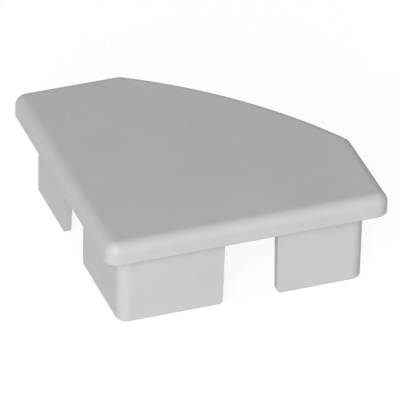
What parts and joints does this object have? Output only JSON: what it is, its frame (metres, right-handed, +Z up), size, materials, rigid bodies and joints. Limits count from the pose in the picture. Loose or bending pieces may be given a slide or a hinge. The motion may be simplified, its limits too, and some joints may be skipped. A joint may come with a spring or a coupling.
{
  "type": "profile end cap",
  "caption": "Moulded end cap for a framing profile: a flat flange with a square corner and an arched side, over a thin inset skirt slotted in its long sides.",
  "frame": {"origin": "on the plane of the skirt tips, under the middle of the flange's square envelope", "axes": "+Z up from the skirt tips to the flange's outer face; the square corner points to -X and -Y, and the long sides run from it along +X and +Y"},
  "size_m": [0.045, 0.045, 0.0161],
  "materials": {
    "cap_plastic": "satin, fine moulded texture"
  },
  "bodies": {
    "root": {"end_cap": "cap_plastic"}
  },
  "joints": []
}
